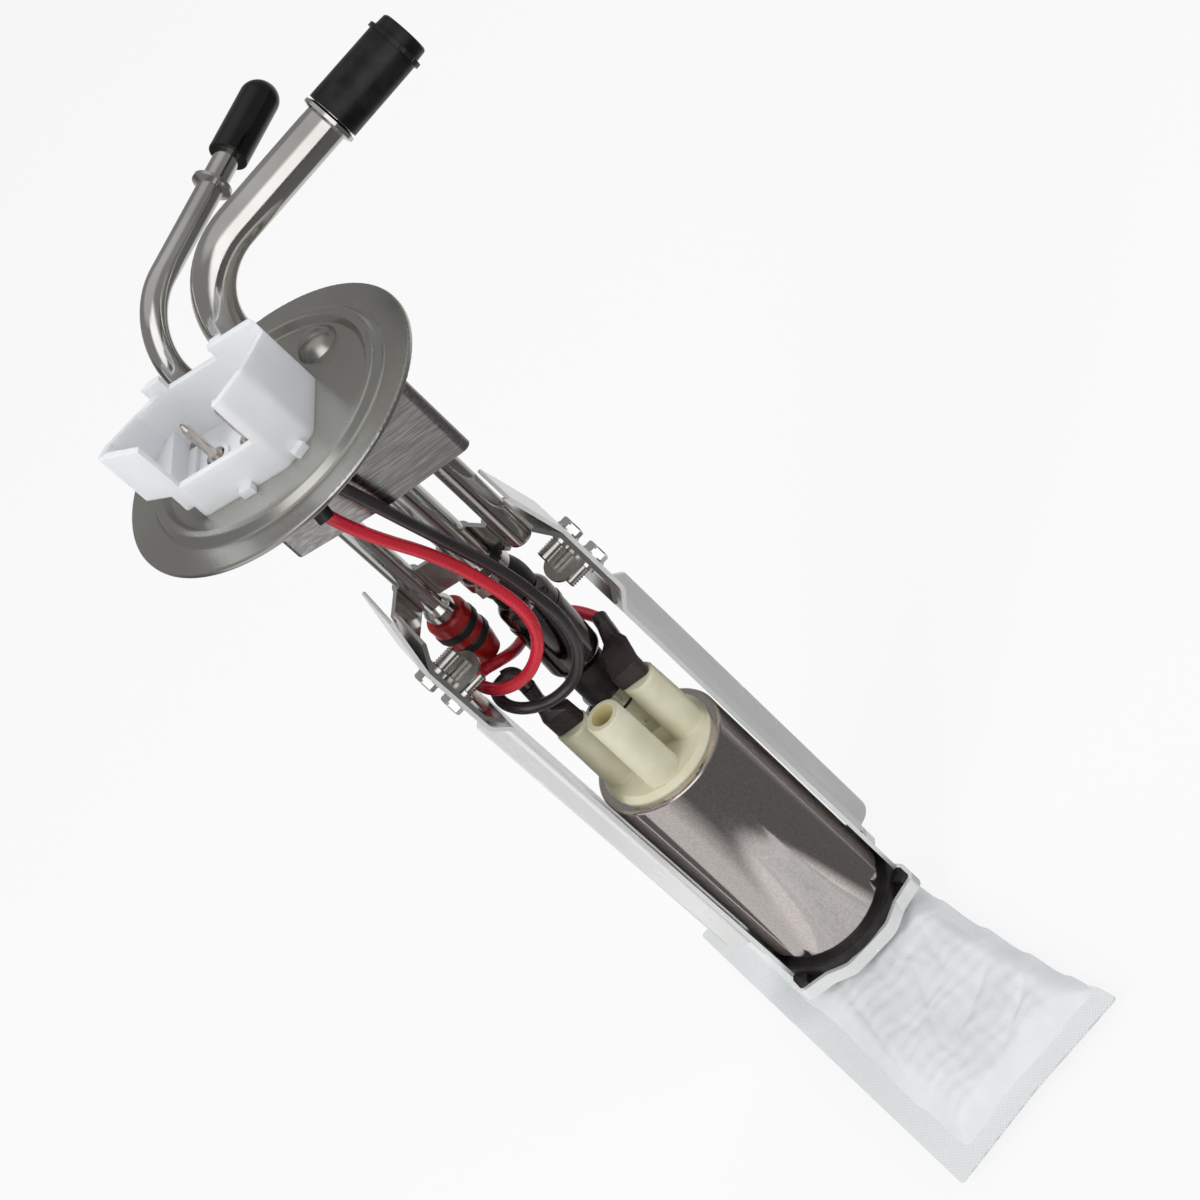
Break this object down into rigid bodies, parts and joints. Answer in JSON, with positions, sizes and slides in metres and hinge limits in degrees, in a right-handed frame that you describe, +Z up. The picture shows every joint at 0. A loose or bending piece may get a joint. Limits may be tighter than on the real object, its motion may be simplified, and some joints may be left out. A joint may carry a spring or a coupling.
{
  "type": "fuel pump module",
  "caption": "In-tank fuel pump module: round steel flange with bent tubes and a two-pin connector above, hanging electric pump in a bracket, and a felt strainer.",
  "frame": {"origin": "centre of the flange on its underside, the face that seals on the tank", "axes": "+Z up out of the tank, the pump hangs along -Z; X runs across the two bracket arms; -Y is the side the strainer reaches to"},
  "size_m": [0.1267, 0.1491, 0.2877],
  "materials": {
    "zinc_steel": "satin zinc plate",
    "tube_steel": "satin",
    "rod_steel": "satin",
    "channel_steel": "scratched, dark",
    "nylon_white": "translucent natural nylon",
    "pin_nickel": "nickel plate",
    "seal_rubber": "matte",
    "sleeve_black": "matte",
    "lead_red": "wire insulation, slightly glossy",
    "lead_black": "wire insulation, slightly glossy",
    "terminal_brown": "dark insulation",
    "hose_rubber": "semi-matte",
    "damper_black": "glossy",
    "clamp_steel": "bright",
    "nozzle_red": "dark red",
    "bracket_steel": "zinc plate",
    "screw_steel": "zinc plate",
    "can_nickel": "dark nickel plate",
    "cap_cream": "cream acetal",
    "blade_brass": "tinned",
    "brush_carbon": "carbon",
    "spring_steel": "drawn",
    "ferrite": "sintered",
    "iron_sheet": "rolled",
    "copper": "enamelled copper",
    "bearing_bronze": "sintered bronze",
    "pump_plastic": "phenolic",
    "rubber_black": "matte",
    "hub_plastic": "acetal",
    "felt_white": "non-woven felt",
    "cap_black": "moulded polyethylene",
    "vinyl_black": "dipped vinyl"
  },
  "bodies": {
    "module": {"flange": "zinc_steel", "supply_tube": "tube_steel", "return_tube": "tube_steel", "support_rod": "rod_steel", "support_channel": "channel_steel", "connector_shell": "nylon_white", "connector_pins": "pin_nickel", "pin_grommets": "seal_rubber", "lead_sleeves": "sleeve_black", "red_lead": "lead_red", "black_lead": "lead_black", "right_lead_terminal": "terminal_brown", "left_lead_terminal": "terminal_brown", "supply_hose": "hose_rubber", "pulsation_damper": "damper_black", "outlet_hose": "hose_rubber", "hose_clamps": "clamp_steel", "return_nozzle": "nozzle_red", "nozzle_seals": "seal_rubber", "rod_bracket": "bracket_steel", "pump_bracket": "bracket_steel", "bracket_screws": "screw_steel", "pump_can": "can_nickel", "pump_cap": "cap_cream", "pump_terminals": "blade_brass", "brushes": "brush_carbon", "brush_springs": "spring_steel", "field_magnets": "ferrite", "flux_ring": "iron_sheet", "upper_bearing": "bearing_bronze", "lower_bearing": "bearing_bronze", "pump_plate": "pump_plastic", "chamber_ring": "pump_plastic", "inlet_cover": "pump_plastic", "check_spring": "spring_steel", "check_retainer": "cap_cream", "isolator": "rubber_black", "strainer_hub": "hub_plastic", "strainer_sock": "felt_white"},
    "rotor": {"rotor_shaft": "rod_steel", "armature_core": "iron_sheet", "armature_windings": "copper", "commutator": "copper", "impeller": "pump_plastic"},
    "valve_ball": {"check_ball": "rod_steel"},
    "large_cap": {"supply_tube_cap": "cap_black"},
    "small_cap": {"return_tube_cap": "vinyl_black"}
  },
  "joints": [
    {"name": "rotor_spin", "type": "hinge", "parent": "module", "child": "rotor", "pos_m": [0.0055, 0, -0.19], "axis": [0, 0, 1], "continuous": true},
    {"name": "check_lift", "type": "slide", "parent": "module", "child": "valve_ball", "axis": [0, 0, 1], "range_m": [0, 0.0016], "stiffness_N_per_m": 60, "deforming": ["check_spring"]},
    {"name": "supply_cap_pull", "type": "slide", "parent": "module", "child": "large_cap", "axis": [0.999, 0, 0.0436], "range_m": [0, 0.024]},
    {"name": "return_cap_pull", "type": "slide", "parent": "module", "child": "small_cap", "axis": [0.8572, 0.515, 0], "range_m": [0, 0.022]}
  ]
}
